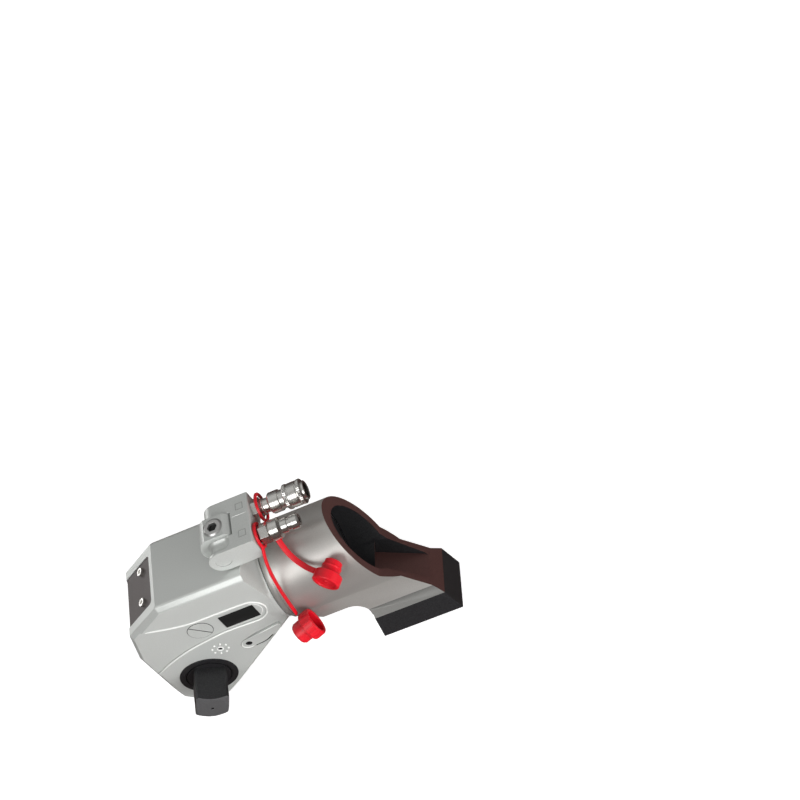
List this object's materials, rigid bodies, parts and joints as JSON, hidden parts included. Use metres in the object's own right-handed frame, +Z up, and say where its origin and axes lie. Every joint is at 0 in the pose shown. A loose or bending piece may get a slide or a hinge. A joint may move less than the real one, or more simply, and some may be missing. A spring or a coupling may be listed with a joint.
{
  "type": "hydraulic torque wrench",
  "caption": "Square-drive hydraulic torque wrench: ratchet head, double-acting cylinder, splined reaction arm and swivel manifold with quick couplers.",
  "frame": {"origin": "on the axis of the square drive, halfway across the head", "axes": "+X along the cylinder towards the reaction arm, -Y out along the square drive, +Z up through the swivel manifold"},
  "size_m": [0.3672, 0.1525, 0.237],
  "materials": {
    "silver_paint": "satin silver-grey paint over forged alloy",
    "satin_plate": "satin nickel plate on forged steel",
    "black_oxide": "black oxide on hardened steel",
    "machined_steel": "machined, lightly oiled",
    "nickel_plate": "bright nickel plate",
    "bronze": "turned bronze",
    "seal_rubber": "moulded nitrile",
    "red_pvc": "soft moulded PVC"
  },
  "bodies": {
    "frame": {"housing": "silver_paint", "drive_bushing_near": "black_oxide", "drive_bushing_far": "black_oxide", "front_cover": "machined_steel", "cover_screws": "nickel_plate", "access_plug": "silver_paint", "index_screw": "machined_steel", "cylinder_barrel": "machined_steel", "rod_gland": "bronze", "rod_seal": "seal_rubber", "end_cap": "black_oxide", "end_cap_seal": "seal_rubber", "post_bolt": "machined_steel"},
    "drive": {"ratchet_wheel": "machined_steel", "square_drive": "black_oxide", "drive_retainer": "machined_steel", "retainer_screw": "black_oxide"},
    "rocker": {"drive_plate_near": "machined_steel", "drive_plate_far": "machined_steel", "rod_pin": "machined_steel", "drive_pawl": "black_oxide"},
    "piston": {"piston": "machined_steel", "piston_seal": "seal_rubber", "piston_rod": "machined_steel", "rod_nut": "machined_steel"},
    "lever": {"release_lever": "silver_paint", "lever_shaft": "black_oxide", "holding_pawl": "black_oxide"},
    "post": {"swivel_post": "silver_paint"},
    "manifold": {"swivel_block": "silver_paint", "swivel_pins": "silver_paint", "port_nipple_far": "nickel_plate", "port_nipple_near": "nickel_plate", "female_coupler": "nickel_plate", "male_coupler": "nickel_plate", "dust_plug": "red_pvc", "dust_cap": "red_pvc"},
    "sleeve": {"coupler_sleeve": "nickel_plate"},
    "arm": {"reaction_arm": "satin_plate", "reaction_pad": "black_oxide", "pad_screws": "black_oxide"}
  },
  "joints": [
    {"name": "piston_stroke", "type": "slide", "parent": "frame", "child": "piston", "axis": [-1, 0, 0], "range_m": [0, 0.0262]},
    {"name": "rocker_swing", "type": "hinge", "parent": "frame", "child": "rocker", "pos_m": [0, 0, 0], "axis": [0, -1, 0], "range_deg": [0, 20.2]},
    {"name": "drive_turn", "type": "hinge", "parent": "frame", "child": "drive", "pos_m": [0, 0, 0], "axis": [0, -1, 0], "continuous": true},
    {"name": "lever_lift", "type": "hinge", "parent": "frame", "child": "lever", "pos_m": [0.068, 0, 0.031], "axis": [0, -1, 0], "range_deg": [0, 10], "stiffness_Nm_per_rad": 1, "springref_deg": -11.46},
    {"name": "swivel_yaw", "type": "hinge", "parent": "frame", "child": "post", "pos_m": [0.108, 0, 0.15], "axis": [0, 0, 1], "continuous": true, "deforming": ["dust_plug", "dust_cap"]},
    {"name": "swivel_tilt", "type": "hinge", "parent": "post", "child": "manifold", "pos_m": [0.108, 0, 0.168], "axis": [0, -1, 0], "range_deg": [0, 180]},
    {"name": "sleeve_slide", "type": "slide", "parent": "manifold", "child": "sleeve", "axis": [-1, 0, 0], "range_m": [0, 0.005], "stiffness_N_per_m": 2000, "springref_m": -0.004},
    {"name": "arm_slide", "type": "slide", "parent": "frame", "child": "arm", "axis": [1, 0, 0], "range_m": [0, 0.08]}
  ],
  "couplings": [
    {"joint": "rocker_swing", "follows": "piston_stroke", "rad_per_m": 13.323},
    {"joint": "drive_turn", "follows": "piston_stroke", "rad_per_m": 13.323}
  ]
}
